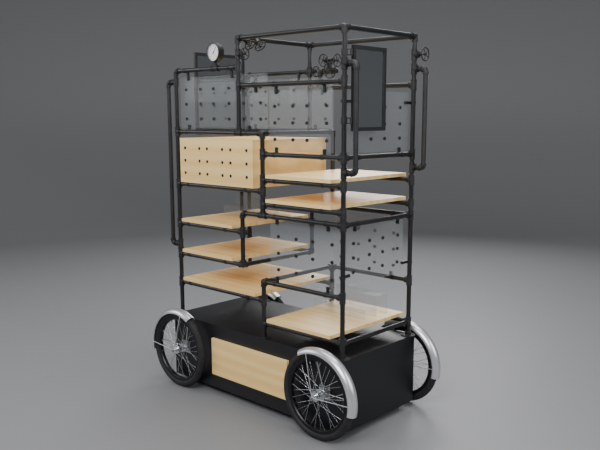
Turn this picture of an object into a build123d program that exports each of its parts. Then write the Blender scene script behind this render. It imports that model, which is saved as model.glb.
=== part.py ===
# Floor-standing eyeglasses display stand, built around a frame of threaded
# three-quarter-inch steel pipe on a black cabinet with four spoked wheels.
# Row frame: +Z up, front (the drawer side) faces -Y, origin on the floor under
# the middle of the stand. All sizes are millimetres.
from build123d import *
from math import atan2, cos, degrees, pi, radians, sin, sqrt
import os

os.makedirs("parts", exist_ok=True)

# ---------------------------------------------------------------- driving sizes
# Pipe and fittings
pipe_d = 26.9                 # outside of three-quarter-inch pipe
pipe_bore = 21.7
socket_depth = 15.0           # thread engagement in a fitting
fitting_wall = 3.6
fitting_neck = 15.0           # from a fitting's centre to the pipe's end
bead_height = 2.0             # the rolled bead at each mouth
bead_width = 6.0
bend_radius = 19.0            # centre line of an elbow's bend
fit_gap = 0.05                # round parts that are pushed together

# Post positions, from the middle of the stand
frame_depth = 630.0           # front posts to back posts, centre to centre
x_left = -700.0               # left end post
x_mast = -100.0               # tall post of the upper tower
x_inner = -80.0               # short post between the two left shelves
x_middle = 102.0              # middle post
x_right = 724.0               # right end post

# Cabinet
base_length = 1500.0
base_margin = 31.0            # cabinet beyond the post centres at the front and back
base_bottom = 45.0
base_top = 470.0
board = 18.0                  # thickness of every board and panel of wood

# Levels of the pipe runs, to the pipe's centre
z_top = 2259.0
z_crown = 2091.0
z_loft = 1983.0
z_bridge = 1703.0
z_end_rail = 1582.0
z_shelf_r1 = 1430.0
z_box = 1363.0
z_shelf_r2 = 1286.0
z_ring = 1219.0
z_shelf_l1 = 1100.0
z_shelf_l2 = 894.0
z_low_ring = 817.0
z_shelf_l3 = 700.0
z_shelf_r3 = 557.0
loop_right = (1504.0, 2073.0)  # bottom and top of the bypass loop at the right
loop_left_top = 2021.0
fitting_spare = 2.0           # least gap between neighbouring fittings
loop_offset = 81.0

# Shelves and the display box
shelf_thick = 20.0
shelf_rear_overhang = 45.0
shelf_side_gap = 3.0              # from a post fitting's mouth to the board
right_shelf_length = 510.0
left_shelf_length = 500.0
low_shelf_length = 705.0
box_length = 694.0
box_height = 287.0
box_side_gap = 24.5

# Clear panels
clear_thick = 5.0
clear_gap = 11.55             # panel face behind the pipes' inner side

# Temple sockets, the rubber grommets that hold a pair of glasses
temple_spacing = 145.0
socket_bore = 8.0
socket_body = 14.0
socket_flange = 19.0
socket_lip = 1.6

# Wheels
wheel_r = 260.0
wheel_x = 626.0
wheel_out = 60.0              # wheel's middle plane in front of the cabinet
tyre_section_r = 23.0
rim_width = 30.0
rim_depth = 16.0
hub_r = 15.0
hub_flange_r = 29.0
hub_half = 42.0
axle_r = 5.0
running_gap = 0.05
spoke_r = 1.2
spokes_per_flange = 16
guard_rise = 3.0              # the mudguard's section centre beyond the tyre's
guard_gap = 13.0              # from the tyre to the mudguard
guard_sheet = 1.6
guard_span = (-12.0, 120.0)   # degrees, on the right-hand wheels
stay_angles = (2.0, 104.0)
stay_r = 2.5

# Drawer
drawer_width = 684.0
drawer_z = (140.0, 382.0)
drawer_depth = 560.0
drawer_lap = 20.0             # front laps over the opening on each side
drawer_wall = 12.0
drawer_floor = 6.0
slide_space = 13.0            # room for a ball slide on each side
slide_height = 45.0
joint_gap = 0.3               # clearance between flat faces that slide

# Gauge
gauge_x = -305.0
gauge_centre_z = 2187.0
gauge_r = 57.0
gauge_depth = 44.0
gauge_stand_off = 22.0         # glass in front of the rail's centre

# ---------------------------------------------------------------- worked out
pipe_r = pipe_d / 2
fitting_reach = fitting_neck + socket_depth
fitting_step = 2 * fitting_reach + fitting_spare
loop_left = (z_shelf_l2 + fitting_step, loop_left_top)
fitting_r = pipe_r + fitting_wall
bead_r = fitting_r + bead_height
base_depth = frame_depth + 2 * base_margin
clear_setback = pipe_r + clear_gap
y_front = -frame_depth / 2
y_back = frame_depth / 2
AXIS = {"+x": Vector(1, 0, 0), "-x": Vector(-1, 0, 0), "+y": Vector(0, 1, 0),
        "-y": Vector(0, -1, 0), "+z": Vector(0, 0, 1), "-z": Vector(0, 0, -1),
        "slant": Vector(1, 0, -1).normalized()}


# ---------------------------------------------------------------- small helpers
def save(name, *shapes):
    """Write every solid of the shapes as one named STEP node."""
    solids = [solid for shape in shapes for solid in shape.solids()]
    export_step(Compound(children=solids), f"parts/{name}.step")


def rod(start, direction, radius, length):
    """A round bar from a point, along a direction."""
    plane = Plane(origin=Vector(*start), z_dir=Vector(*direction))
    return Part() + Solid.make_cylinder(radius, length, plane)


def rod_between(start, end, radius):
    run = Vector(*end) - Vector(*start)
    return rod(start, run.normalized(), radius, run.length)


def block(x, y, z):
    """A box given by its (low, high) pairs."""
    size = [pair[1] - pair[0] for pair in (x, y, z)]
    return Part() + Solid.make_box(*size, Plane(origin=(x[0], y[0], z[0])))


def group(shapes):
    """Several shapes kept as separate solids."""
    return ShapeList([solid for shape in shapes for solid in shape.solids()])


class Group:
    """A list of separate solids that save() can write."""

    def __init__(self, shapes=()):
        self.items = group(shapes)

    def add(self, *shapes):
        self.items += group(shapes)

    def solids(self):
        return self.items


def front_to_back(shape):
    """The same shape mirrored from the front face of the stand to the back."""
    return mirror(shape, about=Plane.XZ)


# ---------------------------------------------------------------- pipe frame
def pipe(start, end):
    run = Vector(*end) - Vector(*start)
    plane = Plane(origin=Vector(*start), z_dir=run.normalized())
    wall = Solid.make_cylinder(pipe_r, run.length, plane)
    return Part() + wall - Solid.make_cylinder(pipe_bore / 2, run.length + 2, plane.offset(-1))


fitting_cache = {}


def elbow_shell(first, second, radius):
    """A bent round bar from one mouth of an elbow to the other."""
    centre = bend_radius * (first + second)
    plane = Plane(origin=centre, x_dir=-second, z_dir=second.cross(first))
    bend = Part() + Solid.make_torus(bend_radius, radius, plane, 0, 360, 90)
    for leg in (first, second):
        bend += rod(bend_radius * leg, leg, radius, fitting_reach - bend_radius)
    return bend


def fitting_shape(mouths):
    """An elbow, tee, cross or corner about the origin, bored for its pipes."""
    if mouths in fitting_cache:
        return fitting_cache[mouths]
    ways = [AXIS[mouth] for mouth in mouths]
    is_elbow = len(ways) == 2 and abs(ways[0].dot(ways[1])) < 0.1
    if is_elbow:
        body = elbow_shell(*ways, fitting_r)
        bore = elbow_shell(*ways, pipe_bore / 2)
    else:
        body = Part() + Rot(20, 31, 12) * Sphere(fitting_r + 0.6)
        bore = Part() + Rot(20, 31, 12) * Sphere(pipe_bore / 2 + 0.6)
        for way in ways:
            body += rod((0, 0, 0), way, fitting_r, fitting_reach)
            bore += rod((0, 0, 0), way, pipe_bore / 2, fitting_reach)
    for way in ways:
        body += rod((fitting_reach - bead_width) * way, way, bead_r, bead_width)
        bore += rod((fitting_reach - socket_depth) * way, way, pipe_r + fit_gap, socket_depth + 1)
    fitting_cache[mouths] = body - bore
    return fitting_cache[mouths]


def fitting(centre, *mouths):
    return Pos(*centre) * fitting_shape(tuple(mouths))


# Each post: its x, its lowest and highest level, and the fittings on it.
# A level maps to the mouths that leave the post there; +y means towards the other side.
tower_posts = {
    x_left: {z_shelf_l3: "+x", z_shelf_l2: "+x", loop_left[0]: "-x", z_shelf_l1: "+x",
             z_box: "+x", z_bridge: "+x", loop_left[1]: "-x", z_crown: "+x end"},
    x_middle: {z_shelf_r3: "+x", z_shelf_l3: "-x", z_low_ring: "+x +y end"},
    x_right: {z_shelf_r3: "-x +y", z_low_ring: "-x", z_ring: "-x +y", z_shelf_r2: "-x",
              z_shelf_r1: "-x", loop_right[0]: "+x", z_end_rail: "-x +y", z_loft: "-x",
              loop_right[1]: "+x", z_top: "-x +y end"},
}
hung_posts = {
    x_middle: {z_ring: "+x -x start", z_shelf_r2: "+x", z_box: "-x", z_shelf_r1: "+x",
               z_end_rail: "+x", z_bridge: "-x +y end"},
    x_mast: {z_bridge: "+x -x start", z_loft: "+x", z_crown: "-x", z_top: "+x +y end"},
    x_inner: {z_shelf_l2: "-x +y start", z_shelf_l1: "-x", z_ring: "+x end"},
}
valve_levels_front = {x_mast: {2165.0: "+x"}}
# The back has no rail under the upper right panel: None leaves a fitting out.
valve_levels_back = {x_right: {2154.0: "+x", z_end_rail: "+y"}, x_mast: {z_crown: "-x +x"},
                     x_middle: {z_end_rail: None}}

flange_r = 44.0
flange_thick = 6.0
flange_hub = 24.0
flange_screw_pcd = 64.0


def post(x, levels, y, inward, on_cabinet):
    """Pipe lengths and fittings of one post; inward is the mouth facing the other side."""
    pipes, fittings = [], []
    heights = sorted(z for z in levels if levels[z])
    lower = base_top + flange_thick + 1 if on_cabinet else None
    for z in heights:
        words = levels[z].replace("+y", inward).split()
        mouths = [word for word in words if word in AXIS]
        if "start" not in words:
            mouths.append("-z")
        if "end" not in words:
            mouths.append("+z")
        fittings.append(fitting((x, y, z), *sorted(mouths)))
        if lower is not None:
            pipes.append(pipe((x, y, lower), (x, y, z - fitting_neck)))
        lower = z + fitting_neck
    return pipes, fittings


def posts_of(y, inward, valve_levels):
    pipes, fittings = [], []
    for table, on_cabinet in ((tower_posts, True), (hung_posts, False)):
        for x, levels in table.items():
            extra = {} if on_cabinet and x == x_middle else valve_levels.get(x, {})
            made = post(x, {**levels, **extra}, y, inward, on_cabinet)
            pipes += made[0]
            fittings += made[1]
    return pipes, fittings


def rail_run(y, z, *stops):
    """Pipe lengths along X between the fittings at the given places."""
    return [pipe((a + fitting_neck, y, z), (b - fitting_neck, y, z)) for a, b in zip(stops, stops[1:])]


riser_x = -8.0                # valve riser on the back loft rail


right_levels = (z_shelf_r1, z_shelf_r2, z_shelf_r3, z_low_ring)


def rails_of(y, crown_stops, loft_stops, right_levels):
    runs = rail_run(y, z_crown, *crown_stops) + rail_run(y, z_loft, *loft_stops)
    runs += rail_run(y, z_top, x_mast, x_right)
    runs += rail_run(y, z_bridge, x_left, x_mast, x_middle)
    for z in right_levels:
        runs += rail_run(y, z, x_middle, x_right)
    runs += rail_run(y, z_ring, x_inner, x_middle, x_right)
    for z in (z_box, z_shelf_l3):
        runs += rail_run(y, z, x_left, x_middle)
    for z in (z_shelf_l1, z_shelf_l2):
        runs += rail_run(y, z, x_left, x_inner)
    return runs


def side_run(x, z, *stops):
    return [pipe((x, a + fitting_neck, z), (x, b - fitting_neck, z)) for a, b in zip(stops, stops[1:])]


top_valve_y = (y_front + fitting_step, y_front + fitting_step + 83)   # valves on the top side pipe behind the mast

front_pipes, front_fittings = posts_of(y_front, "+y", valve_levels_front)
back_pipes, back_fittings = posts_of(y_back, "-y", valve_levels_back)
# The lower valve by the mast sits where the crown rail's fitting meets the back mast.
save("pipe_posts", Group(front_pipes + back_pipes))
front_rails = rails_of(y_front, (x_left, gauge_x, x_mast), (x_mast, x_right), (z_end_rail, *right_levels))
back_rails = rails_of(y_back, (x_left, x_mast), (x_mast, riser_x, x_right), right_levels)
save("front_rails", Group(front_rails))
save("back_rails", Group(back_rails))
side_rails = side_run(x_mast, z_top, y_front, *top_valve_y, y_back)
for x, z in ((x_right, z_top), (x_right, z_end_rail), (x_right, z_ring), (x_right, z_shelf_r3),
             (x_middle, z_bridge), (x_middle, z_low_ring), (x_inner, z_shelf_l2)):
    side_rails += side_run(x, z, y_front, y_back)
save("side_rails", Group(side_rails))
gauge_tee = fitting((gauge_x, y_front, z_crown), "+x", "+z", "-x")
save("front_fittings", Group(front_fittings + [gauge_tee]))
save("back_fittings", Group(back_fittings))


def bypass_loop(x, way, levels, y):
    """A length of pipe standing off a post between two elbows."""
    out = AXIS[way].X * loop_offset
    back_to_post = "-x" if way == "+x" else "+x"
    low, high = levels
    stub = (fitting_neck * AXIS[way].X, out - fitting_neck * AXIS[way].X)
    loop = [pipe((x + stub[0], y, z), (x + stub[1], y, z)) for z in levels]
    loop.append(pipe((x + out, y, low + fitting_neck), (x + out, y, high - fitting_neck)))
    loop.append(fitting((x + out, y, low), "+z", back_to_post))
    loop.append(fitting((x + out, y, high), "-z", back_to_post))
    return loop


loops = Group()
for y in (y_front, y_back):
    loops.add(*bypass_loop(x_right, "+x", loop_right, y))
    loops.add(*bypass_loop(x_left, "-x", loop_left, y))
save("bypass_loops", loops)


# Floor flanges under the six standing posts, and their countersunk screws
screw_r = 2.5
screw_head_r = 4.8
flanges = Group()
for x in (x_left, x_middle, x_right):
    for y in (y_front, y_back):
        flange = rod((x, y, base_top), (0, 0, 1), flange_r, flange_thick)
        flange += rod((x, y, base_top), (0, 0, 1), fitting_r + 1, flange_hub)
        flange -= rod((x, y, base_top + flange_thick), (0, 0, 1), pipe_r + fit_gap, flange_hub)
        for k in range(4):
            turn = radians(45 + 90 * k)
            spot = (x + flange_screw_pcd / 2 * cos(turn), y + flange_screw_pcd / 2 * sin(turn))
            flange -= rod((*spot, base_top), (0, 0, 1), screw_r + fit_gap, flange_thick)
            head = rod((*spot, base_top + flange_thick), (0, 0, 1), screw_head_r, 2.4)
            flanges.add(head + rod((*spot, base_top), (0, 0, 1), screw_r, flange_thick + 1))
        flanges.add(flange)
save("floor_flanges", flanges)

# ---------------------------------------------------------------- shelves
shelf_front = y_front - pipe_r
shelf_back = y_back + pipe_r + shelf_rear_overhang
saddle_width = 18.0
saddle_wall = 1.6


def shelf(x0, length, z_rail):
    """A board lying on the front and back rails of its level."""
    low = z_rail + pipe_r
    return fillet(block((x0, x0 + length), (shelf_front, shelf_back), (low, low + shelf_thick))
                  .edges().filter_by(Axis.Z), 3)


left_shelf_x = x_left + fitting_reach + shelf_side_gap
right_shelf_x = x_middle + fitting_reach + shelf_side_gap
shelves = {"shelf_right_top": (right_shelf_x, right_shelf_length, z_shelf_r1),
           "shelf_right_middle": (right_shelf_x, right_shelf_length, z_shelf_r2),
           "shelf_right_bottom": (right_shelf_x, right_shelf_length, z_shelf_r3),
           "shelf_left_top": (left_shelf_x, left_shelf_length, z_shelf_l1),
           "shelf_left_middle": (left_shelf_x, left_shelf_length, z_shelf_l2),
           "shelf_left_bottom": (left_shelf_x, low_shelf_length, z_shelf_l3)}
for name, (x0, length, z_rail) in shelves.items():
    save(name, shelf(x0, length, z_rail))


def saddle(x, y, z):
    """A bent strap under a rail, with a foot on each side against the board above."""
    outer_r = pipe_r + saddle_wall
    top = z + pipe_r
    strap = rod((x - saddle_width / 2, y, z), (1, 0, 0), outer_r, saddle_width)
    strap += block((x - saddle_width / 2, x + saddle_width / 2), (y - outer_r, y + outer_r), (z, top))
    strap += block((x - saddle_width / 2, x + saddle_width / 2),
                   (y - outer_r - 14 * (y > 0), y + outer_r + 14 * (y < 0)), (top - 2, top))
    strap -= rod((x - saddle_width, y, z), (1, 0, 0), pipe_r + fit_gap, 2 * saddle_width)
    strap -= block((x - saddle_width, x + saddle_width), (y - pipe_r - fit_gap, y + pipe_r + fit_gap), (z, top))
    return strap - block((x - saddle_width, x + saddle_width), (y - 60, y + 60), (top, top + 20))


saddles = Group()
for x0, length, z_rail in list(shelves.values()) + [(x_left + box_side_gap + pipe_r, box_length, z_box)]:
    for x in (x0 + 70, x0 + length - 70):
        for y in (y_front, y_back):
            saddles.add(saddle(x, y, z_rail))
save("pipe_saddles", saddles)


# ---------------------------------------------------------------- temple sockets
def temple_holes(centres, rows):
    """Every hole of a panel: two to each pair of glasses."""
    return [(x + side * temple_spacing / 2, z) for x in centres for z in rows for side in (-1, 1)]


def bored_panel(panel, holes, along_x):
    """Drill the socket holes; the panel faces along X or along Y."""
    for place, z in holes:
        start, way = (((-2000, place, z), (1, 0, 0)) if along_x else ((place, -2000, z), (0, 1, 0)))
        panel -= rod(start, way, socket_body / 2 + fit_gap, 4000)
    return panel


def grommet(face, thickness, way):
    """A rubber socket pushed through a panel from its outer face."""
    out = Vector(*way)
    start = Vector(*face)
    ring = rod(start, out, socket_flange / 2, socket_lip)
    ring += rod(start, -out, socket_body / 2, thickness)
    ring += rod(start - out * thickness, -out, socket_flange / 2, socket_lip)
    return ring - rod(start + out * 5, -out, socket_bore / 2, thickness + 10)


grommets = Group()

# ---------------------------------------------------------------- wooden display box
box_x = (x_left + pipe_r + box_side_gap, x_left + pipe_r + box_side_gap + box_length)
box_y = (y_front - pipe_r, y_back + pipe_r)
box_z = (z_box + pipe_r, z_box + pipe_r + box_height)
box_pitch = 221.0
box_centres = [box_x[0] + 126.0 + box_pitch * k for k in range(3)]
box_rows = [box_z[0] + 64.0 + 80.0 * k for k in range(3)]
box_holes = temple_holes(box_centres, box_rows)
box_front = bored_panel(block(box_x, (box_y[0], box_y[0] + board), box_z), box_holes, False)
box_back = bored_panel(block(box_x, (box_y[1] - board, box_y[1]), box_z), box_holes, False)
save("display_box_front", box_front)
save("display_box_sockets", Group([grommet((x, box_y[0], z), board, (0, -1, 0)) for x, z in box_holes]))
grommets.add(*[grommet((x, box_y[1], z), board, (0, 1, 0)) for x, z in box_holes])
inner_y = (box_y[0] + board, box_y[1] - board)
box_shell = Group([
    box_back,
    block(box_x, inner_y, (box_z[1] - board, box_z[1])),
    block(box_x, inner_y, (box_z[0], box_z[0] + board)),
    block((box_x[0], box_x[0] + board), inner_y, (box_z[0] + board, box_z[1] - board)),
    block((box_x[1] - board, box_x[1]), inner_y, (box_z[0] + board, box_z[1] - board))])
save("display_box_shell", box_shell)

# ---------------------------------------------------------------- clear panels
clip_width = 16.0
clip_wall = 2.0
clip_edge = 9.0               # from a panel screw to the end of its tab
clip_screw_r = 2.5
panel_face = y_front + clear_setback
clips = Group()
clip_holes = []


def clip(rail_point, along, tab_way, tab_reach, panel_way):
    """A pipe clip: a ring round a pipe and a tab that carries the panel's screw.

    along is the pipe's direction, tab_way the direction from the pipe to the screw,
    panel_way the direction from the pipe's centre to the panel's near face.
    """
    centre = Vector(*rail_point)
    axis, reach, inward = Vector(*along), Vector(*tab_way), Vector(*panel_way)
    ring_r = pipe_r + clip_wall
    ring = rod(centre - axis * clip_width / 2, axis, ring_r, clip_width)
    tab_thick = clear_setback - pipe_r
    middle = centre + inward * (pipe_r + tab_thick / 2) + reach * ((tab_reach + clip_edge) / 2)
    plane = Plane(origin=middle, x_dir=axis, z_dir=inward)
    ring += Part() + plane * Box(clip_width, tab_reach + clip_edge, tab_thick)
    ring -= rod(centre - axis * clip_width, axis, pipe_r + fit_gap, 2 * clip_width)
    screw_at = centre + reach * tab_reach
    face = screw_at + inward * pipe_r
    ring -= rod(face - inward * 5, inward, clip_screw_r + fit_gap, clear_setback)
    screw = rod(face - inward * 2, inward, 4.5, 2)
    screw += rod(face, inward, clip_screw_r, tab_thick + clear_thick + 4)
    screw += rod(face + inward * (tab_thick + clear_thick), inward, 4.5, 3)
    clips.add(ring, screw)
    return screw_at


def front_panel(x, z, holes, clip_points, name, sides=(1, -1)):
    """The same clear panel in the front face (1) and, mirrored, in the back face (-1)."""
    sheet = block(x, (panel_face, panel_face + clear_thick), z)
    sheet = bored_panel(sheet, holes, False)
    for rail_x, rail_z, way, reach in clip_points:
        for side in sides:
            spot = clip((rail_x, side * y_front, rail_z), (1, 0, 0), (0, 0, way), reach, (0, side, 0))
        sheet -= rod((spot.X, -2000, spot.Z), (0, 1, 0), clip_screw_r + fit_gap, 4000)
    save(name, Group([sheet if side > 0 else front_to_back(sheet) for side in sides]))
    for place, height in holes:
        for side in sides:
            grommets.add(grommet((place, side * panel_face, height), clear_thick, (0, -side, 0)))


upper_left_x, upper_left_z = (x_left + 12, x_middle + 18), (z_bridge + 23, z_crown - pipe_r - 28)
front_panel(upper_left_x, upper_left_z,
            temple_holes((-560.0, -290.0, -10.0), (1786.0, 1880.0, 1972.0)),
            [(-600.0, z_crown, -1, 53.0), (-180.0, z_crown, -1, 53.0),
             (-600.0, z_bridge, 1, 36.0), (-30.0, z_bridge, 1, 36.0), (30.0, z_loft, -1, 34.0)],
            "clear_panels_upper_left")
upper_right_x, upper_right_z = (x_middle + 33, x_right - 97), (z_end_rail + 21, z_loft - 33)
front_panel(upper_right_x, upper_right_z,
            temple_holes((252.0, 506.0), (1670.0, 1765.0, 1859.0)),
            [(200.0, z_loft, -1, 46.0), (570.0, z_loft, -1, 46.0),
             (200.0, z_end_rail, 1, 34.0), (570.0, z_end_rail, 1, 34.0)],
            "clear_panels_upper_right", (1,))
lower_x, lower_z = (x_middle + 35, x_right - 42), (z_low_ring + 21, z_ring - 23)
front_panel(lower_x, lower_z,
            temple_holes((275.0, 550.0), (900.0, 1000.0, 1100.0)),
            [(200.0, z_ring, -1, 36.0), (600.0, z_ring, -1, 36.0),
             (200.0, z_low_ring, 1, 34.0), (600.0, z_low_ring, 1, 34.0)],
            "clear_panels_lower")

end_x = x_right - clear_setback
end_sheets = Group()
for y, z, rows, rail_z, way, reach in (
        ((y_front + 56, y_back - 15), (z_end_rail + 21, z_loft - 43), (1677.0, 1759.0, 1852.0), z_end_rail, 1, 34.0),
        ((y_front + 56, y_back - 36), (z_low_ring + 53, z_ring - 23), (940.0, 1022.0, 1104.0), z_ring, -1, 36.0)):
    holes = temple_holes((-120.0, 150.0), rows)
    sheet = bored_panel(block((end_x - clear_thick, end_x), y, z), holes, True)
    for clip_y in (-190.0, 210.0):
        spot = clip((x_right, clip_y, rail_z), (0, 1, 0), (0, 0, way), reach, (-1, 0, 0))
        sheet -= rod((x_right, spot.Y, spot.Z), (-1, 0, 0), clip_screw_r + fit_gap, 60)
    for post_y, toward in ((y_front, 1), (y_back, -1)):
        clip_z = z[1] - 60 if way > 0 else z[0] + 60
        spot = clip((x_right, post_y, clip_z), (0, 0, 1), (0, toward, 0), 71.0 if toward > 0 else 48.0,
                    (-1, 0, 0))
        sheet -= rod((x_right, spot.Y, spot.Z), (-1, 0, 0), clip_screw_r + fit_gap, 60)
    end_sheets.add(sheet)
    grommets.add(*[grommet((end_x, place, height), clear_thick, (1, 0, 0)) for place, height in holes])
save("clear_panels_end", end_sheets)
save("panel_clips", clips)
save("temple_grommets", grommets)

# ---------------------------------------------------------------- clear risers
riser_width = 420.0
riser_step = (65.0, 130.0)
riser_tread = 110.0


def riser(x, y, z):
    """A two-step stand folded from clear sheet, open at both ends."""
    low, high = riser_step
    steps = [block((x, x + riser_width), (y, y + riser_tread), (z + low - clear_thick, z + low)),
             block((x, x + riser_width), (y, y + clear_thick), (z, z + low - clear_thick)),
             block((x, x + riser_width), (y + riser_tread, y + riser_tread + clear_thick), (z, z + high)),
             block((x, x + riser_width), (y + riser_tread + clear_thick, y + 2 * riser_tread),
                   (z + high - clear_thick, z + high)),
             block((x, x + riser_width), (y + 2 * riser_tread, y + 2 * riser_tread + clear_thick),
                   (z, z + high))]
    folded = Part()
    for step in steps:
        folded += step
    return folded


riser_left_at = (left_shelf_x + 48, 0.0, z_shelf_l1 + pipe_r + shelf_thick)
riser_right_at = (right_shelf_x + 30, 60.0, z_shelf_r3 + pipe_r + shelf_thick)
save("clear_risers", Group([riser(*riser_left_at), riser(*riser_right_at)]))

# ---------------------------------------------------------------- cabinet
half_l, half_d = base_length / 2, base_depth / 2
inside_x = (-half_l + board, half_l - board)
inside_y = (-half_d + board, half_d - board)
inside_z = (base_bottom + board, base_top - board)
save("cabinet_top", block((-half_l, half_l), (-half_d, half_d), (base_top - board, base_top)))
half_drawer = drawer_width / 2
divider_x = half_drawer - drawer_lap
opening_z = (drawer_z[0] + drawer_lap, drawer_z[1] - drawer_lap)
cabinet_walls = Group([
    block((-half_l, half_l), (-half_d, half_d), (base_bottom, base_bottom + board)),
    block((-half_l, -half_l + board), (-half_d, half_d), inside_z),
    block((half_l - board, half_l), (-half_d, half_d), inside_z),
    block(inside_x, (half_d - board, half_d), inside_z)]
    + [block(span, inside_y, inside_z) for span in ((-divider_x - board, -divider_x), (divider_x, divider_x + board))])
save("cabinet_walls", cabinet_walls)
face = block(inside_x, (-half_d, -half_d + board), inside_z)
face -= block((-divider_x, divider_x), (-half_d - 1, 0), opening_z)
save("cabinet_front", face)

# ---------------------------------------------------------------- drawer
front_y = (-half_d - board - joint_gap, -half_d - joint_gap)
box_half = divider_x - slide_space
tray_z = (opening_z[0] + 12, opening_z[1] - 22)
tray_y = (front_y[1], front_y[1] + drawer_depth)
save("drawer_front", chamfer(block((-half_drawer, half_drawer), front_y, drawer_z)
                             .edges().filter_by(Axis.Y), 1.5))
tray = block((-box_half, box_half), tray_y, tray_z)
tray -= block((-box_half + drawer_wall, box_half - drawer_wall),
              (tray_y[0] + drawer_wall, tray_y[1] - drawer_wall), (tray_z[0] + drawer_floor, tray_z[1] + 1))
slide_z = (sum(opening_z) / 2 - slide_height / 2, sum(opening_z) / 2 + slide_height / 2)
runner_z = (slide_z[0] + 8, slide_z[1] - 8)
slide_y = (-half_d + board + 4, -half_d + board + 4 + drawer_depth - 40)
rails, runners = Group(), Group()
for side in (-1, 1):
    def across(near, far):
        return tuple(sorted((side * near, side * far)))
    rail = block(across(divider_x - slide_space + joint_gap, divider_x), slide_y, slide_z)
    rail -= block(across(divider_x - slide_space - 1, divider_x - 3), slide_y,
                  (runner_z[0] - joint_gap, runner_z[1] + joint_gap))
    rails.add(rail)
    runners.add(block(across(box_half, divider_x - 3 - joint_gap), slide_y, runner_z))
save("drawer_rails", rails)
save("drawer_tray", tray, runners)

# ---------------------------------------------------------------- wheels
tyre_ring_r = wheel_r - tyre_section_r
rim_inner_r = tyre_ring_r - tyre_section_r - rim_depth
guard_r = tyre_ring_r + guard_rise
guard_section_r = tyre_section_r + guard_gap
wheel_y = half_d + wheel_out
cone_gap = 0.4
nut_half = hub_half + 6.4
eyelet_thick = 5.0
axle_end = nut_half + eyelet_thick + 12.0


def wheel_plane(x, y):
    """A plane at a wheel's centre whose normal is the axle."""
    return Plane(origin=(x, y, wheel_r), x_dir=(1, 0, 0), z_dir=(0, -1, 0))


def hub(x, y):
    plane = wheel_plane(x, y)
    shell = Part() + plane * Cylinder(hub_r, 2 * hub_half)
    for side in (-1, 1):
        shell += plane * Pos(0, 0, side * (hub_half - 16)) * Cylinder(hub_flange_r, 4)
        shell += plane * Pos(0, 0, side * (hub_half - 4)) * Cylinder(hub_r + 3, 8)
    return shell - plane * Cylinder(axle_r + running_gap, 4 * hub_half)


def rim(x, y):
    plane = wheel_plane(x, y)
    outer = tyre_ring_r - tyre_section_r + 9
    ring = Part() + plane * Cylinder(outer, rim_width)
    ring -= plane * Cylinder(rim_inner_r, rim_width)
    return ring - plane * Torus(tyre_ring_r, tyre_section_r + 0.2)


def spokes(x, y):
    """Crossed wire spokes from each hub flange to the middle of the rim."""
    wires = []
    count = spokes_per_flange
    for side in (-1, 1):
        for k in range(count):
            lean = 1 if k % 2 else -1
            rim_turn = 2 * pi * (k + (0.25 if side > 0 else 0.75)) / count
            hub_turn = rim_turn + lean * radians(64)
            near, far = hub_flange_r + 1.5, rim_inner_r - 0.4
            start = (x + near * cos(hub_turn), y + side * (hub_half - 16) + 1.6 * lean,
                     wheel_r + near * sin(hub_turn))
            end = (x + far * cos(rim_turn), y + side * 5 + 1.6 * lean, wheel_r + far * sin(rim_turn))
            wires.append(rod_between(start, end, spoke_r))
    return wires


def tyre(x, y):
    return Part() + wheel_plane(x, y) * Torus(tyre_ring_r, tyre_section_r)


def mudguard(x, y):
    """A rolled sheet of half-round section over the outward quarter of a wheel."""
    right = x > 0
    ring = Part() + Solid.make_torus(guard_r, guard_section_r, wheel_plane(0, 0))
    ring -= Solid.make_torus(guard_r, guard_section_r - guard_sheet, wheel_plane(0, 0))
    ring -= wheel_plane(0, 0) * Cylinder(guard_r + 4, 2 * wheel_r)
    first, last = guard_span if right else (180 - guard_span[1], 180 - guard_span[0])
    reach = 2 * wheel_r
    rays = [radians(first + (last - first) * k / 3) for k in range(4)]
    wedge = make_face(Polyline((0, 0), *[(reach * cos(ray), reach * sin(ray)) for ray in rays], close=True))
    front_plane = Plane(origin=(0, 100, wheel_r), x_dir=(1, 0, 0), z_dir=(0, -1, 0))
    return Pos(x, y, 0) * (ring & (Part() + extrude(front_plane * wedge, 200)))


def guard_stays(x, y):
    """On each side an eyelet on the axle with two wires out to the mudguard's lips."""
    forks = []
    lip = sqrt(guard_section_r ** 2 - 4 ** 2) + stay_r
    eyelet_at = nut_half + 0.2 + eyelet_thick / 2
    for side in (-1, 1):
        fork = Part() + wheel_plane(x, y + side * eyelet_at) * Cylinder(9, eyelet_thick)
        for angle in stay_angles:
            turn = radians(angle if x > 0 else 180 - angle)
            reach = guard_r + 4
            start = (x + 7 * cos(turn), y + side * eyelet_at, wheel_r + 7 * sin(turn))
            end = (x + reach * cos(turn), y + side * lip, wheel_r + reach * sin(turn))
            fork += rod_between(start, end, stay_r)
        forks.append(fork - wheel_plane(x, y) * Cylinder(axle_r, 4 * hub_half))
    return forks


def axle_parts(x, y):
    """Axle bolted to the cabinet by a plate, with a nut and cone each side of the hub."""
    out = -1 if y < 0 else 1
    wall = half_d * out
    plate_thick = 3.0
    axle = rod((x, wall, wheel_r), (0, out, 0), axle_r, wheel_out + axle_end)
    axle += block((x - 40, x + 40), tuple(sorted((wall, wall + out * plate_thick))), (wheel_r - 40, wheel_r + 40))
    nuts = [(side, hub_half + cone_gap, nut_half) for side in (-1, 1)]
    nuts.append((out, nut_half + eyelet_thick + 0.4, nut_half + eyelet_thick + 8.0))
    for side, near, far in nuts:
        place = y + side * (near + far) / 2
        axle += Pos(x, place, wheel_r) * Rot(90, 0, 0) * extrude(RegularPolygon(9, 6), (far - near) / 2, both=True)
    return axle


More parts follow.
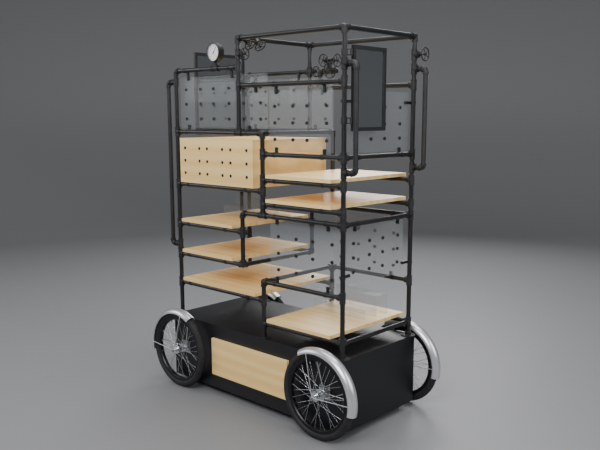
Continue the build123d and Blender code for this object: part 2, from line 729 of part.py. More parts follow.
axles, guards = Group(), Group()
for name, x, y in (("front_right", wheel_x, -wheel_y), ("front_left", -wheel_x, -wheel_y),
                   ("back_right", wheel_x, wheel_y), ("back_left", -wheel_x, wheel_y)):
    save(f"tyre_{name}", tyre(x, y))
    save(f"wheel_{name}", Group([hub(x, y), rim(x, y)] + spokes(x, y)))
    axles.add(axle_parts(x, y))
    guards.add(mudguard(x, y), *guard_stays(x, y))
save("wheel_axles", axles)
save("mudguards", guards)

# ---------------------------------------------------------------- valves
bonnet_r = 12.0
bonnet_length = 10.0
gland_r = 8.0
gland_length = 7.0
stem_r = 4.0
valve_bodies = Group()


def bonnet(centre, way):
    """The bonnet and gland that screw into a fitting's side; the stem runs in its bore."""
    out = Vector(*way).normalized()
    root = Vector(*centre) + out * (fitting_reach - socket_depth)
    body = rod(root, out, pipe_r, socket_depth) + rod(root, out, bonnet_r, socket_depth + bonnet_length)
    plane = Plane(origin=root + out * (socket_depth + bonnet_length), z_dir=out)
    body += Part() + extrude(plane * RegularPolygon(gland_r + 1, 6), gland_length)
    return body - rod(root - out, out, stem_r + running_gap, socket_depth + bonnet_length + gland_length + 2)


def handwheel(centre, way, wheel_radius, reach):
    """Cast handwheel with its stem, which turns in the gland."""
    out = Vector(*way).normalized()
    hub_at = Vector(*centre) + out * reach
    plane = Plane(origin=hub_at, z_dir=out)
    rim_r = 3.6
    wheel = Part() + Solid.make_torus(wheel_radius - rim_r, rim_r, plane)
    wheel += rod(hub_at - out * 5, out, 8, 10)
    wheel += rod(hub_at + out * 5, out, 3.4, 4)
    for k in range(5):
        turn = 2 * pi * (k + 0.37) / 5
        spoke_way = plane.x_dir * cos(turn) + plane.y_dir * sin(turn)
        wheel += rod(hub_at + spoke_way * 4, spoke_way, 2.4, wheel_radius - 2 * rim_r - 2.5)
    stem_start = Vector(*centre) + out * (fitting_reach - 4)
    return wheel + rod_between(stem_start, hub_at - out * 3, stem_r)


def valve(name, centre, way, wheel_radius, reach):
    valve_bodies.add(bonnet(centre, way))
    save(name, handwheel(centre, way, wheel_radius, reach))


manifold_z = (z_loft + 105, z_loft + 105 + fitting_step + 3)
manifold_x = (riser_x + 80, riser_x + 80 + fitting_step + 4)
save("valve_manifold", Group([
    fitting((riser_x, y_back, z_loft), "+x", "-x", "+z"),
    pipe((riser_x, y_back, z_loft + fitting_neck), (riser_x, y_back, manifold_z[0] - fitting_neck)),
    fitting((riser_x, y_back, manifold_z[0]), "+x", "-z"),
    pipe((riser_x + fitting_neck, y_back, manifold_z[0]), (manifold_x[0] - fitting_neck, y_back, manifold_z[0])),
    fitting((manifold_x[0], y_back, manifold_z[0]), "+x", "+z", "-x"),
    pipe((manifold_x[0] + fitting_neck, y_back, manifold_z[0]), (manifold_x[1] - fitting_neck, y_back, manifold_z[0])),
    fitting((manifold_x[1], y_back, manifold_z[0]), "-x", "-y"),
    pipe((manifold_x[0], y_back, manifold_z[0] + fitting_neck), (manifold_x[0], y_back, manifold_z[1] - fitting_neck)),
    fitting((manifold_x[0], y_back, manifold_z[1]), "+x", "-y", "-z")]
    + [fitting((x_mast, y, z_top), "+y", "-y", "slant") for y in top_valve_y]))
drop = (1, 0, -1)
valve("handwheel_mast_low", (x_mast, y_front, 2165.0), (1, 0, 0), 36.0, 62.0)
valve("handwheel_top_front", (x_mast, top_valve_y[0], z_top), drop, 36.0, 56.0)
valve("handwheel_top_back", (x_mast, top_valve_y[1], z_top), drop, 38.0, 58.0)
valve("handwheel_mast_back", (x_mast, y_back, z_crown), (1, 0, 0), 36.0, 56.0)
valve("handwheel_manifold_upper", (manifold_x[0], y_back, manifold_z[1]), (0, -1, 0), 41.0, 59.0)
valve("handwheel_manifold_large", (manifold_x[1], y_back, manifold_z[0]), (0, -1, 0), 52.0, 72.0)
valve("handwheel_manifold_side", (manifold_x[0], y_back, manifold_z[1]), (1, 0, 0), 42.0, 66.0)
valve("handwheel_right_post", (x_right, y_back, 2154.0), (1, 0, 0), 41.0, 75.0)
save("valve_bonnets", valve_bodies)

# ---------------------------------------------------------------- pressure gauge
gauge_bezel = 5.0
gauge_front = y_front - gauge_stand_off
dial_r = gauge_r - gauge_bezel
gauge_plane = Plane(origin=(gauge_x, gauge_front, gauge_centre_z), x_dir=(1, 0, 0), z_dir=(0, -1, 0))
dial_depth = 9.0
case = Part() + extrude(gauge_plane * Circle(gauge_r), -gauge_depth)
case -= extrude(gauge_plane * Circle(dial_r), -dial_depth - 2)
stem_top = gauge_centre_z - sqrt(gauge_r ** 2 - 8 ** 2)
stem_low = z_crown + fitting_reach
case += rod((gauge_x, y_front, stem_low - socket_depth), (0, 0, 1), 8, stem_top - stem_low + socket_depth + 2)
case += Pos(gauge_x, y_front, stem_low) * extrude(RegularPolygon(13, 6), 6)
case += rod((gauge_x, y_front, stem_low - socket_depth), (0, 0, 1), pipe_r, socket_depth)
pivot_r = 1.5
case += extrude(gauge_plane.offset(-dial_depth - 2) * Circle(pivot_r), 5)
save("gauge_case", case)
dial = Part() + extrude(gauge_plane.offset(-dial_depth - 2) * Circle(dial_r), 1.5)
save("gauge_dial", dial - extrude(gauge_plane.offset(-dial_depth - 2) * Circle(pivot_r), 5))
needle_sketch = make_face(Polyline((-2.5, -14), (2.5, -14), (3.0, 0), (0.6, 42), (-0.6, 42), (-3.0, 0), close=True))
needle_rest = Rot(0, 0, -35)
needle_face = needle_rest * (Circle(5) + needle_sketch) - Circle(pivot_r + running_gap)
save("gauge_needle", Part() + extrude(gauge_plane.offset(-dial_depth + 0.4) * needle_face, 1.2))
save("gauge_glass", Part() + extrude(gauge_plane.offset(-3.5) * Circle(dial_r), 2.5))

# ---------------------------------------------------------------- mirrors
mirror_bar = 20.0
mirror_depth = 16.0
glass_thick = 4.0
hinge_pin_r = 3.0
knuckle_r = 6.5
knuckle_length = 20.0
clamp_height = 22.0
mirror_clamps = Group()


def mirror_frame(x, y, z):
    """A rectangular frame rebated for its glass; x is the frame's middle plane."""
    half = mirror_depth / 2
    frame = block((x - half, x + half), y, z)
    inner = ((y[0] + mirror_bar, y[1] - mirror_bar), (z[0] + mirror_bar, z[1] - mirror_bar))
    return frame - block((x - half, x + half), *inner)


def mirror_glass(x, y, z):
    back = block((x - glass_thick / 2, x + glass_thick / 2),
                 (y[0] + mirror_bar, y[1] - mirror_bar), (z[0] + mirror_bar, z[1] - mirror_bar))
    return back


def add_hinges(frame, hinge, frame_edge, levels):
    """Knuckles on the frame that turn on the clamps' pins."""
    hx, hy = hinge
    for z in levels:
        z0 = z - knuckle_length / 2
        frame += rod((hx, hy, z0), (0, 0, 1), knuckle_r, knuckle_length)
        frame += block((hx - 3, hx + 3), tuple(sorted((hy, frame_edge))), (z0, z0 + knuckle_length))
        frame -= rod((hx, hy, z0 - 1), (0, 0, 1), hinge_pin_r + running_gap, knuckle_length + 2)
    return frame


def post_clamp(post_xy, hinge, z):
    """A ring round the post with an arm that holds a hinge pin above and below a knuckle."""
    px, py = post_xy
    hx, hy = hinge
    arm_gap = knuckle_length / 2 + joint_gap
    clamp = Part()
    for z0 in (z - arm_gap - 7, z + arm_gap):
        arm = rod((px, py, z0), (0, 0, 1), pipe_r + 4, 7)
        run = Vector(hx - px, hy - py, 0)
        plane = Plane(origin=(px, py, z0 + 3.5), x_dir=run.normalized(), z_dir=(0, 0, 1))
        arm += Part() + plane * Pos(run.length / 2, 0, 0) * Box(run.length, 10, 7)
        arm += rod((hx, hy, z0), (0, 0, 1), knuckle_r, 7)
        clamp += arm
    clamp += rod((px, py, z - arm_gap - 7), (0, 0, 1), pipe_r + 4, 2 * arm_gap + 14)
    clamp += rod((hx, hy, z - arm_gap - 7), (0, 0, 1), hinge_pin_r, 2 * arm_gap + 14)
    return clamp - rod((px, py, z - 100), (0, 0, 1), pipe_r + fit_gap, 200)


right_hinge = (x_right + 30, y_front + 21)
right_mirror = ((right_hinge[1] + 8, right_hinge[1] + 8 + 284), (1724.0, 2168.0))
right_levels = (1779.0, 2130.0)
frame = mirror_frame(right_hinge[0], *right_mirror)
save("mirror_right_frame", add_hinges(frame, right_hinge, right_mirror[0][0] + 2, right_levels))
save("mirror_right_glass", mirror_glass(right_hinge[0], *right_mirror))
left_hinge = (x_left, y_back - 27)
left_mirror = ((left_hinge[1] - 8 - 440, left_hinge[1] - 8), (1680.0, 2220.0))
frame = mirror_frame(left_hinge[0], *left_mirror)
left_levels = (1790.0, 1960.0)
save("mirror_left_frame", add_hinges(frame, left_hinge, left_mirror[0][1] - 2, left_levels))
save("mirror_left_glass", mirror_glass(left_hinge[0], *left_mirror))
for z in right_levels:
    mirror_clamps.add(post_clamp((x_right, y_front), right_hinge, z))
for z in left_levels:
    mirror_clamps.add(post_clamp((x_left, y_back), left_hinge, z))
save("mirror_clamps", mirror_clamps)
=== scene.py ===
# A floor-standing display for eyeglasses: a black pipe frame with pine shelves
# and clear socket panels, on a black cabinet with four spoked wheels.
import math

import bpy
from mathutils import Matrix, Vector


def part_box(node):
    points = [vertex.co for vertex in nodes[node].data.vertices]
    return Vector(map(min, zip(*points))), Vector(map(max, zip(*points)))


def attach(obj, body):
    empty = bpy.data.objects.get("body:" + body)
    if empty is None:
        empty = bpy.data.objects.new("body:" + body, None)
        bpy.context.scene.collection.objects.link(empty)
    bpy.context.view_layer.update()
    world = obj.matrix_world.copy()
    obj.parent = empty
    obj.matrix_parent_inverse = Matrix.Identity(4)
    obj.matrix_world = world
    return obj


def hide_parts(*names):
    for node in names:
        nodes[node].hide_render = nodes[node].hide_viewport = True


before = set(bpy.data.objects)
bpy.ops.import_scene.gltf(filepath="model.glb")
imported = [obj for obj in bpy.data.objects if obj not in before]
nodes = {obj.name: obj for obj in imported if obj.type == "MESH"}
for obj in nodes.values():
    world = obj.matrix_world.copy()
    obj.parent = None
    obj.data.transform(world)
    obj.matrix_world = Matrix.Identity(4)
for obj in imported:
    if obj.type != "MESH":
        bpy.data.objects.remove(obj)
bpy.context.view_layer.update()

# ---------------------------------------------------------------- the view
# The stand is seen from its front right corner, from eye height, with a
# medium lens a little over four and a half metres away.
camera_data = bpy.data.cameras.new("camera")
camera_data.sensor_width = 36.0
camera_data.lens = 44.2
camera_data.shift_x = -0.0138
camera_data.shift_y = 0.0241
camera = bpy.data.objects.new("camera", camera_data)
camera.location = (3.249, -3.330, 1.798)
camera.rotation_euler = (math.radians(80.563), 0.0, math.radians(42.687))
bpy.context.collection.objects.link(camera)
bpy.context.scene.camera = camera


# ---------------------------------------------------------------- the room
# A pale seamless floor, and a plain wall behind it, under large soft lamps.
def srgb(code):
    """The linear colour of a six-figure hex colour."""
    parts = [int(code[i:i + 2], 16) / 255 for i in (0, 2, 4)]
    return tuple(((v + 0.055) / 1.055) ** 2.4 if v > 0.04045 else v / 12.92 for v in parts) + (1.0,)


def add_node(material, kind, settings=None, inputs=None):
    """One shader node with its settings; an input is a value, or an output to link from."""
    node = material.node_tree.nodes.new(kind)
    for name, value in (settings or {}).items():
        setattr(node, name, value)
    for name, value in (inputs or {}).items():
        if isinstance(value, bpy.types.NodeSocket):
            material.node_tree.links.new(value, node.inputs[name])
        else:
            node.inputs[name].default_value = value
    return node


def new_material(name, roughness=0.5, metallic=0.0, colour="808080"):
    """A material with its main shader set; returns it with that shader."""
    material = bpy.data.materials.new(name)
    material.use_nodes = True
    material.diffuse_color = srgb(colour)
    shader = material.node_tree.nodes["Principled BSDF"]
    shader.inputs["Base Color"].default_value = srgb(colour)
    shader.inputs["Roughness"].default_value = roughness
    shader.inputs["Metallic"].default_value = metallic
    return material, shader


def select_only(*objects):
    bpy.ops.object.select_all(action="DESELECT")
    for obj in objects:
        obj.select_set(True)
    bpy.context.view_layer.objects.active = objects[0]


def start_piece(name):
    """Name the primitive that was just added, and its mesh."""
    piece = bpy.context.active_object
    piece.name = name
    piece.data.name = name
    return piece


def settle(piece, material, body):
    """Put a finished piece's place into its mesh, give it its finish and its body."""
    select_only(piece)
    bpy.ops.object.transform_apply(location=True, rotation=True, scale=True)
    piece.data.materials.clear()
    piece.data.materials.append(material)
    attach(piece, body)
    return piece


bpy.ops.object.select_all(action="DESELECT")
bpy.ops.mesh.primitive_circle_add(vertices=96, radius=7.0, fill_type="NGON", location=(0.0, 0.0, 0.0))
floor = start_piece("floor")
bpy.ops.object.mode_set(mode="EDIT")
bpy.ops.mesh.select_all(action="SELECT")
# The sweep rises from the floor to a wall in five steps of a quarter turn.
for step in range(5):
    turn = math.radians(18 * (step + 1))
    before = math.radians(18 * step)
    rise = 2.5 * (math.cos(before) - math.cos(turn))
    reach = 7.0 + 2.5 * math.sin(turn)
    last = 7.0 + 2.5 * math.sin(before)
    bpy.ops.mesh.select_mode(type="EDGE")
    if step == 0:
        bpy.ops.mesh.region_to_loop()
    bpy.ops.mesh.extrude_region_move(TRANSFORM_OT_translate={"value": (0.0, 0.0, rise)})
    bpy.ops.transform.resize(value=(reach / last, reach / last, 1.0), center_override=(0.0, 0.0, 0.0))
bpy.ops.mesh.extrude_region_move(TRANSFORM_OT_translate={"value": (0.0, 0.0, 5.0)})
bpy.ops.object.mode_set(mode="OBJECT")
bpy.ops.object.shade_smooth_by_angle(angle=math.radians(40))
floor_paint, floor_shader = new_material("studio_floor", roughness=0.5, colour="808183")
floor.data.materials.append(floor_paint)

world = bpy.data.worlds.new("studio")
bpy.context.scene.world = world
world.use_nodes = True
world.node_tree.nodes["Background"].inputs["Color"].default_value = srgb("A2A4A8")
world.node_tree.nodes["Background"].inputs["Strength"].default_value = 0.55

for name, place, aim, size, power in (
        ("key", (2.6, -4.6, 4.6), (0.0, 0.0, 1.0), 3.0, 330.0),
        ("fill", (5.2, 0.6, 3.2), (0.3, 0.0, 1.2), 3.0, 120.0),
        ("left", (-4.6, -3.6, 3.4), (0.0, 0.0, 1.0), 3.0, 110.0),
        ("top", (0.0, 0.4, 5.6), (0.0, 0.0, 0.0), 3.4, 210.0),
        ("rear", (-2.5, 4.8, 3.6), (0.0, 0.0, 1.2), 3.0, 150.0)):
    lamp_data = bpy.data.lights.new(name, "AREA")
    lamp_data.size = size
    lamp_data.energy = power
    lamp = bpy.data.objects.new(name, lamp_data)
    lamp.location = place
    lamp.rotation_euler = (Vector(aim) - Vector(place)).to_track_quat("-Z", "Y").to_euler()
    bpy.context.collection.objects.link(lamp)


# ---------------------------------------------------------------- pipe frame
# Steel pipe, painted satin black over its mill skin. The paint follows faint
# waves and small pits in the skin, so its gloss is a little uneven.
def finish(material, *names):
    """Give CAD nodes one finish."""
    for name in names:
        mesh = nodes[name].data
        mesh.materials.clear()
        mesh.materials.append(material)


def spotty(material, scale, low, high, detail=4.0):
    """Noise in object space, mapped to a range of values, scale in features per metre."""
    place = add_node(material, "ShaderNodeTexCoord")
    noise = add_node(material, "ShaderNodeTexNoise", None,
                     {"Vector": place.outputs["Object"], "Scale": scale, "Detail": detail})
    return add_node(material, "ShaderNodeMapRange", None,
                    {"Value": noise.outputs["Fac"], "From Min": 0.3, "From Max": 0.7,
                     "To Min": low, "To Max": high})


def uneven_gloss(material, shader, scale, low, high, detail=4.0):
    """Roughness that drifts between two values."""
    drift = spotty(material, scale, low, high, detail)
    material.node_tree.links.new(drift.outputs["Result"], shader.inputs["Roughness"])


def bumped(material, shader, height, depth, strength=1.0):
    """Relief of a depth in metres on a shader."""
    bump = add_node(material, "ShaderNodeBump", None,
                    {"Height": height, "Distance": depth, "Strength": strength})
    material.node_tree.links.new(bump.outputs["Normal"], shader.inputs["Normal"])


def toned(material, shader, factor, dark, light):
    """Colour between two hex tones by a factor."""
    mix = add_node(material, "ShaderNodeMix", {"data_type": "RGBA"})
    material.node_tree.links.new(factor, mix.inputs[0])
    mix.inputs[6].default_value = srgb(dark)
    mix.inputs[7].default_value = srgb(light)
    material.node_tree.links.new(mix.outputs[2], shader.inputs["Base Color"])


# Satin black enamel on steel pipe: nearly black, with soft broad highlights.
pipe_paint, shader = new_material("black_enamel_on_pipe", roughness=0.36, colour="141518")
uneven_gloss(pipe_paint, shader, 45.0, 0.30, 0.46)
tone = spotty(pipe_paint, 9.0, 0.0, 1.0)
toned(pipe_paint, shader, tone.outputs["Result"], "111214", "1D1E21")
skin = spotty(pipe_paint, 160.0, 0.0, 1.0)
bumped(pipe_paint, shader, skin.outputs["Result"], 0.0002)
finish(pipe_paint, "pipe_posts", "front_rails", "back_rails", "side_rails")

# Painted malleable iron: the sand of the mould leaves a fine grain of about a
# millimetre, so highlights break up more than they do on the pipe.
iron_paint, shader = new_material("black_enamel_on_cast_iron", roughness=0.45, colour="17181A")
grain = spotty(iron_paint, 500.0, 0.0, 1.0, 2.0)
bumped(iron_paint, shader, grain.outputs["Result"], 0.0004)
uneven_gloss(iron_paint, shader, 60.0, 0.38, 0.56)
tone = spotty(iron_paint, 20.0, 0.0, 1.0)
toned(iron_paint, shader, tone.outputs["Result"], "131416", "222326")
finish(iron_paint, "front_fittings", "back_fittings", "bypass_loops", "valve_manifold", "floor_flanges")

# ---------------------------------------------------------------- fixings
# Steel clips, saddles and mirror clamps with a powder coat, whose skin is a
# fine orange peel, and black screws.
powder_coat, shader = new_material("black_powder_coat", roughness=0.5, colour="17181A")
peel = spotty(powder_coat, 700.0, 0.0, 1.0, 1.0)
bumped(powder_coat, shader, peel.outputs["Result"], 0.0002)
uneven_gloss(powder_coat, shader, 30.0, 0.42, 0.58)
finish(powder_coat, "panel_clips", "pipe_saddles", "mirror_clamps", "valve_bonnets",
       "mirror_right_frame", "mirror_left_frame")

# ---------------------------------------------------------------- pine boards
# Edge-glued pine with a clear satin lacquer. The growth rings run along each
# board as long streaks a few millimetres to two centimetres wide.


def pine(name, along, across, light, dark, roughness=0.42):
    """Lacquered pine whose grain runs along one axis; across is the axis of its rings."""
    material, shader = new_material(name, roughness=roughness, colour=light)
    stretch = {"X": (0.55, 9.0, 9.0), "Y": (9.0, 0.55, 9.0), "Z": (9.0, 9.0, 0.55)}[along]
    place = add_node(material, "ShaderNodeTexCoord")
    mapping = add_node(material, "ShaderNodeMapping", None,
                       {"Vector": place.outputs["Object"], "Scale": stretch})
    cloud = add_node(material, "ShaderNodeTexNoise", None,
                     {"Vector": mapping.outputs["Vector"], "Scale": 0.7, "Detail": 3.0, "Distortion": 0.6})
    rings = add_node(material, "ShaderNodeTexWave",
                     {"wave_type": "BANDS", "bands_direction": across, "wave_profile": "SIN"},
                     {"Vector": mapping.outputs["Vector"], "Scale": 0.45, "Distortion": 14.0,
                      "Detail": 3.0, "Detail Scale": 0.6})
    fibre = add_node(material, "ShaderNodeTexNoise", None,
                     {"Vector": mapping.outputs["Vector"], "Scale": 22.0, "Detail": 4.0})
    both = add_node(material, "ShaderNodeMath", {"operation": "MULTIPLY_ADD"})
    material.node_tree.links.new(rings.outputs["Fac"], both.inputs[0])
    both.inputs[1].default_value = 0.35
    material.node_tree.links.new(cloud.outputs["Fac"], both.inputs[2])
    blend = add_node(material, "ShaderNodeMath", {"operation": "MULTIPLY_ADD"})
    material.node_tree.links.new(fibre.outputs["Fac"], blend.inputs[0])
    blend.inputs[1].default_value = 0.35
    material.node_tree.links.new(both.outputs["Value"], blend.inputs[2])
    level = add_node(material, "ShaderNodeMapRange", None,
                     {"Value": blend.outputs["Value"], "From Min": 0.55, "From Max": 1.25,
                      "To Min": 0.0, "To Max": 1.0})
    toned(material, shader, level.outputs["Result"], light, dark)
    bumped(material, shader, fibre.outputs["Fac"], 0.0002, 0.5)
    shader.inputs["Coat Weight"].default_value = 0.15
    shader.inputs["Coat Roughness"].default_value = 0.3
    return material


shelf_pine = pine("lacquered_pine_shelf", "X", "Y", "FFE0A0", "F0C67C")
finish(shelf_pine, "shelf_right_top", "shelf_right_middle", "shelf_right_bottom",
       "shelf_left_top", "shelf_left_middle", "shelf_left_bottom")
box_pine = pine("lacquered_pine_box", "X", "Z", "FFDC98", "EDBE70")
finish(box_pine, "display_box_front", "display_box_shell", "drawer_front")

# Birch plywood with a thin lacquer, for the drawer's tray.
birch = pine("birch_plywood", "X", "Z", "DDC29A", "C6A678", roughness=0.5)
finish(birch, "drawer_tray")

# ---------------------------------------------------------------- cabinet
# Boards with a black melamine face, whose fine leather-like texture of about
# a millimetre keeps reflections soft.
melamine, shader = new_material("black_melamine", roughness=0.38, colour="0D0E13")
texture = spotty(melamine, 420.0, 0.0, 1.0, 2.0)
bumped(melamine, shader, texture.outputs["Result"], 0.0002)
uneven_gloss(melamine, shader, 4.0, 0.33, 0.45)
finish(melamine, "cabinet_top", "cabinet_walls", "cabinet_front")

# Zinc-plated steel for the slides and the axles, finely brushed.
zinc, shader = new_material("zinc_plated_steel", roughness=0.32, metallic=1.0, colour="A9ABAE")
uneven_gloss(zinc, shader, 90.0, 0.26, 0.42)
finish(zinc, "drawer_rails", "wheel_axles")

# ---------------------------------------------------------------- wheels
# The rim is an extruded aluminium hoop, anodised black; the hub is turned and
# polished, and the spokes are drawn stainless wire.
corners = ("front_right", "front_left", "back_right", "back_left")
anodised, shader = new_material("black_anodised_aluminium", roughness=0.34, metallic=0.5, colour="1B1C1F")
uneven_gloss(anodised, shader, 70.0, 0.28, 0.44)
polished, shader = new_material("polished_hub_aluminium", roughness=0.2, metallic=1.0, colour="D5D7DA")
uneven_gloss(polished, shader, 120.0, 0.15, 0.3)
wire, shader = new_material("stainless_spoke_wire", roughness=0.24, metallic=1.0, colour="C9CCD0")
uneven_gloss(wire, shader, 160.0, 0.18, 0.34)


def turned(name, profile, steps):
    """Spin a closed outline of (radius, height) points round Z into a solid of revolution."""
    bpy.ops.object.select_all(action="DESELECT")
    bpy.ops.mesh.primitive_circle_add(vertices=len(profile), radius=0.1)
    piece = start_piece(name)
    for vertex, (radius, height) in zip(piece.data.vertices, profile):
        vertex.co = (radius, 0.0, height)
    bpy.ops.object.mode_set(mode="EDIT")
    bpy.ops.mesh.select_all(action="SELECT")
    bpy.ops.mesh.spin(steps=steps, angle=2 * math.pi, center=(0.0, 0.0, 0.0), axis=(0.0, 0.0, 1.0))
    bpy.ops.mesh.select_all(action="SELECT")
    bpy.ops.mesh.remove_doubles(threshold=0.00002)
    bpy.ops.mesh.normals_make_consistent(inside=False)
    bpy.ops.object.mode_set(mode="OBJECT")
    bpy.ops.object.shade_smooth_by_angle(angle=math.radians(35))
    return piece


rim = turned("rim", [(0.198, -0.008), (0.198, 0.008), (0.2035, 0.0148), (0.2190, 0.0148), (0.2157, 0.0098),
                     (0.2136, 0.0), (0.2157, -0.0098), (0.2190, -0.0148), (0.2035, -0.0148)], 96)
hub = turned("hub", [(0.0052, -0.042), (0.017, -0.042), (0.018, -0.041), (0.018, -0.034), (0.015, -0.033),
                     (0.015, -0.028), (0.028, -0.028), (0.029, -0.027), (0.029, -0.025), (0.028, -0.024),
                     (0.016, -0.023), (0.013, -0.012), (0.013, 0.012), (0.016, 0.023), (0.028, 0.024),
                     (0.029, 0.025), (0.029, 0.027), (0.028, 0.028), (0.015, 0.028), (0.015, 0.033),
                     (0.018, 0.034), (0.018, 0.041), (0.017, 0.042), (0.0052, 0.042)], 40)
for piece in (rim, hub):
    select_only(piece)
    piece.rotation_euler = (math.pi / 2, 0.0, 0.0)
    bpy.ops.object.transform_apply(location=False, rotation=True, scale=False)

# Sixteen spokes leave each hub flange, leaning forwards and backwards in turn.
spokes_a_side = 16
spoke_radius = 0.0013
spoke_cross = math.radians(64)      # turn between a spoke's ends
hub_spoke_circle, rim_spoke_circle = 0.027, 0.1976
flange_offset, rim_offset = 0.026, 0.005


def spoke_places():
    """Side, lean and turn at the rim of each spoke."""
    for side in (-1, 1):
        for k in range(spokes_a_side):
            yield side, 1 if k % 2 else -1, 2 * math.pi * (k + (0.25 if side > 0 else 0.75)) / spokes_a_side


def rim_sideways(side, lean):
    """How far a spoke's outer end stands from the wheel's middle plane."""
    return side * rim_offset + 0.0016 * lean


wires = []
for side, lean, rim_turn in spoke_places():
    hub_turn = rim_turn + lean * spoke_cross
    inner = Vector((hub_spoke_circle * math.cos(hub_turn), side * flange_offset + 0.0024 * lean,
                    hub_spoke_circle * math.sin(hub_turn)))
    outer = Vector((rim_spoke_circle * math.cos(rim_turn), rim_sideways(side, lean),
                    rim_spoke_circle * math.sin(rim_turn)))
    bpy.ops.object.select_all(action="DESELECT")
    bpy.ops.mesh.primitive_cylinder_add(vertices=8, radius=spoke_radius, depth=(outer - inner).length)
    spoke = start_piece(f"spoke_{len(wires)}")
    spoke.rotation_euler = (outer - inner).to_track_quat("Z", "Y").to_euler()
    spoke.location = (inner + outer) / 2
    wires.append(spoke)
select_only(*wires)
bpy.ops.object.join()
bpy.ops.object.transform_apply(location=True, rotation=True, scale=True)
bpy.ops.object.shade_smooth_by_angle(angle=math.radians(60))
spokes = start_piece("spokes")

def wheel_box(corner):
    """Lower and upper corner of a wheel's tyre."""
    low, high = (Vector(point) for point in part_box(f"tyre_{corner}"))
    return low, high


for corner in corners:
    low, high = wheel_box(corner)
    for pattern, material in ((rim, anodised), (hub, polished), (spokes, wire)):
        part = pattern.copy()
        part.data = pattern.data.copy()
        part.name = part.data.name = f"{pattern.name}_{corner}"
        bpy.context.collection.objects.link(part)
        part.location = (low + high) / 2
        settle(part, material, f"wheel_{corner}_body")
        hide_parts(f"wheel_{corner}")
for pattern in (rim, hub, spokes):
    bpy.data.objects.remove(pattern)

# Tyres: moulded black rubber. Two rows of small blocks stand between grooves
# on the tread, and a raised bead line runs round each side wall.
tyre_rubber, shader = new_material("tyre_rubber", roughness=0.72, colour="18181A")
dust = spotty(tyre_rubber, 25.0, 0.0, 1.0)
toned(tyre_rubber, shader, dust.outputs["Result"], "141416", "232325")
mould = spotty(tyre_rubber, 900.0, 0.0, 1.0, 1.0)
bumped(tyre_rubber, shader, mould.outputs["Result"], 0.0003)


def pick_faces(piece, wanted):
    """Enter edit mode with only the wanted faces selected; wanted reads a face's centre."""
    select_only(piece)
    bpy.context.tool_settings.mesh_select_mode = (False, False, True)
    bpy.ops.object.mode_set(mode="EDIT")
    bpy.ops.mesh.select_all(action="DESELECT")
    bpy.ops.object.mode_set(mode="OBJECT")
    for face in piece.data.polygons:
        face.select = wanted(face.center)
    bpy.ops.object.mode_set(mode="EDIT")


tyre_section = 0.023
tread_count = 120
for corner in corners:
    low, high = wheel_box(corner)
    centre = (low + high) / 2
    ring = (high.z - low.z) / 2 - tyre_section
    bpy.ops.object.select_all(action="DESELECT")
    bpy.ops.mesh.primitive_torus_add(major_radius=ring, minor_radius=tyre_section,
                                     major_segments=tread_count, minor_segments=28)
    tyre = start_piece(f"tread_{corner}")

    def section_angle(point):
        """Degrees round the tyre's section, from the middle of the tread."""
        return math.degrees(math.atan2(point.z, math.hypot(point.x, point.y) - ring))

    def in_groove(point):
        step = int((math.degrees(math.atan2(point.y, point.x)) % 360.0) * tread_count / 360.0)
        angle = section_angle(point)
        row = 0 if angle > 0 else 1
        return 6.0 < abs(angle) < 45.0 and (step + row) % 2 == 0

    pick_faces(tyre, in_groove)
    bpy.ops.mesh.inset(thickness=0.0012, depth=-0.0014)
    bpy.ops.object.mode_set(mode="OBJECT")
    pick_faces(tyre, lambda point: 96.0 < abs(section_angle(point)) < 110.0)
    bpy.ops.mesh.inset(thickness=0.0008, depth=0.0007)
    bpy.ops.object.mode_set(mode="OBJECT")
    bpy.ops.object.shade_smooth_by_angle(angle=math.radians(32))
    tyre.rotation_euler = (math.pi / 2, 0.0, 0.0)
    tyre.location = centre
    settle(tyre, tyre_rubber, f"wheel_{corner}_body")
    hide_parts(f"tyre_{corner}")

# Brass nipples, nickel plated, hold the outer end of each spoke in the rim.
nickel, shader = new_material("nickel_plated_brass", roughness=0.25, metallic=1.0, colour="B8B6B0")
uneven_gloss(nickel, shader, 200.0, 0.2, 0.34)
nipple_circle = 0.1915
for corner in corners:
    low, high = wheel_box(corner)
    centre = (low + high) / 2
    made = []
    for side, lean, turn in spoke_places():
        bpy.ops.object.select_all(action="DESELECT")
        bpy.ops.mesh.primitive_cone_add(vertices=8, radius1=0.0024, radius2=0.0017, depth=0.013)
        nipple = start_piece(f"nipple_{corner}_{len(made)}")
        out = Vector((math.cos(turn), 0.0, math.sin(turn)))
        nipple.rotation_euler = (-out).to_track_quat("Z", "Y").to_euler()
        nipple.location = centre + out * nipple_circle + Vector((0.0, rim_sideways(side, lean), 0.0))
        made.append(nipple)
    select_only(*made)
    bpy.ops.object.join()
    nipples = start_piece(f"spoke_nipples_{corner}")
    settle(nipples, nickel, f"wheel_{corner}_body")

# ---------------------------------------------------------------- mudguards
# Rolled sheet with a silver metallic lacquer: tiny flakes under a clear coat.
silver, shader = new_material("silver_lacquered_sheet", roughness=0.3, metallic=0.75, colour="D3D5D8")
uneven_gloss(silver, shader, 1500.0, 0.26, 0.40, 1.0)
shader.inputs["Coat Weight"].default_value = 0.4
shader.inputs["Coat Roughness"].default_value = 0.12
finish(silver, "mudguards")

# ---------------------------------------------------------------- clear panels
# Cast acrylic with flame-polished edges: clear, with a faint cool tint.


def clear_sheet(name, colour, alpha):
    material, shader = new_material(name, roughness=0.05, colour=colour)
    shader.inputs["IOR"].default_value = 1.49
    shader.inputs["Alpha"].default_value = alpha
    uneven_gloss(material, shader, 3.0, 0.03, 0.09)
    return material


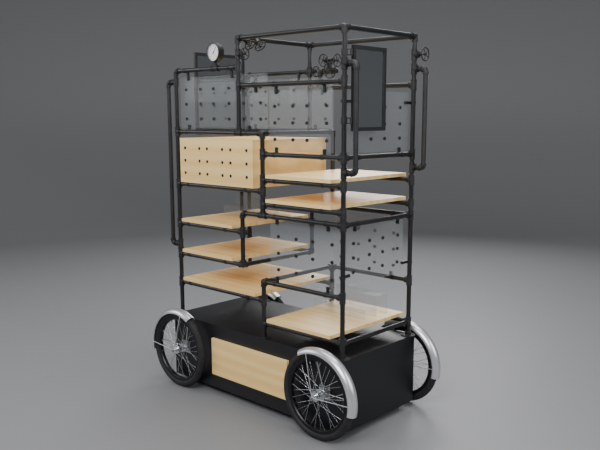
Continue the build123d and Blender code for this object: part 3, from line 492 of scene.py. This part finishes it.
acrylic = clear_sheet("cast_acrylic", "A9AFB2", 0.11)
finish(acrylic, "clear_panels_upper_left", "clear_panels_upper_right", "clear_panels_lower",
       "clear_panels_end", "clear_risers")
window = clear_sheet("gauge_window_glass", "F2F5F5", 0.08)
finish(window, "gauge_glass")

# Moulded rubber sockets for the temples.
rubber, shader = new_material("moulded_rubber", roughness=0.6, colour="161617")
skin = spotty(rubber, 800.0, 0.0, 1.0, 1.0)
bumped(rubber, shader, skin.outputs["Result"], 0.0001)
finish(rubber, "display_box_sockets", "temple_grommets")

# ---------------------------------------------------------------- mirrors
# Silvered glass; the silver's faint unevenness shows only in its roughness.
silvering, shader = new_material("silvered_glass", roughness=0.03, metallic=1.0, colour="C9CED1")
uneven_gloss(silvering, shader, 2.0, 0.02, 0.05)
finish(silvering, "mirror_right_glass", "mirror_left_glass")

# ---------------------------------------------------------------- gauge
# A pressure gauge in a black pressed-steel case, with an enamelled white dial,
# printed scale and a black pointer.
finish(powder_coat, "gauge_case")
dial_white, shader = new_material("white_enamelled_dial", roughness=0.35, colour="F1F1EE")
uneven_gloss(dial_white, shader, 40.0, 0.3, 0.42)
finish(dial_white, "gauge_dial")
# The scale is printed in black: forty small marks with a long one each fifth,
# and numbers from 0 to 8 inside them.
ink, shader = new_material("black_printing_ink", roughness=0.5, colour="131315")
uneven_gloss(ink, shader, 500.0, 0.45, 0.6)
dial_low, dial_high = (Vector(point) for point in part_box("gauge_dial"))
dial_centre = (dial_low + dial_high) / 2
dial_radius = (dial_high.x - dial_low.x) / 2
dial_face = dial_low.y
scale_start, scale_sweep = 225.0, 270.0      # degrees
small_steps, number_steps = 40, 8
ink_height = 0.00015
marks = []
for k in range(small_steps + 1):
    turn = math.radians(scale_start - scale_sweep * k / small_steps)
    is_long = k % (small_steps // number_steps) == 0
    length = 0.0085 if is_long else 0.005
    bpy.ops.object.select_all(action="DESELECT")
    bpy.ops.mesh.primitive_cylinder_add(vertices=12, radius=0.5, depth=1.0)
    mark = start_piece(f"mark_{k}")
    mark.scale = (length, 0.0016 if is_long else 0.0008, 0.0003)
    mark.rotation_euler = (math.pi / 2, -turn, 0.0)
    out = Vector((math.cos(turn), 0.0, math.sin(turn)))
    mark.location = dial_centre + out * (dial_radius - 0.004 - length / 2)
    mark.location.y = dial_face - ink_height
    marks.append(mark)
for k in range(number_steps + 1):
    turn = math.radians(scale_start - scale_sweep * k / number_steps)
    bpy.ops.object.select_all(action="DESELECT")
    bpy.ops.object.text_add()
    number = bpy.context.active_object
    number.data.body = str(k)
    number.data.align_x = "CENTER"
    number.data.align_y = "CENTER"
    number.data.size = 0.013
    number.data.extrude = ink_height
    number.rotation_euler = (math.pi / 2, 0.0, 0.0)
    out = Vector((math.cos(turn), 0.0, math.sin(turn)))
    number.location = dial_centre + out * (dial_radius - 0.0195)
    number.location.y = dial_face - ink_height
    select_only(number)
    bpy.ops.object.convert(target="MESH")
    marks.append(bpy.context.active_object)
select_only(*marks)
bpy.ops.object.join()
settle(start_piece("gauge_scale"), ink, "stand")
needle_black, shader = new_material("needle_lacquer", roughness=0.4, colour="16171A")
uneven_gloss(needle_black, shader, 300.0, 0.34, 0.46)
finish(needle_black, "gauge_needle")

# ---------------------------------------------------------------- handwheels
# Small cast-iron handwheels, painted like the fittings.
finish(iron_paint, *[name for name in nodes if name.startswith("handwheel_")])
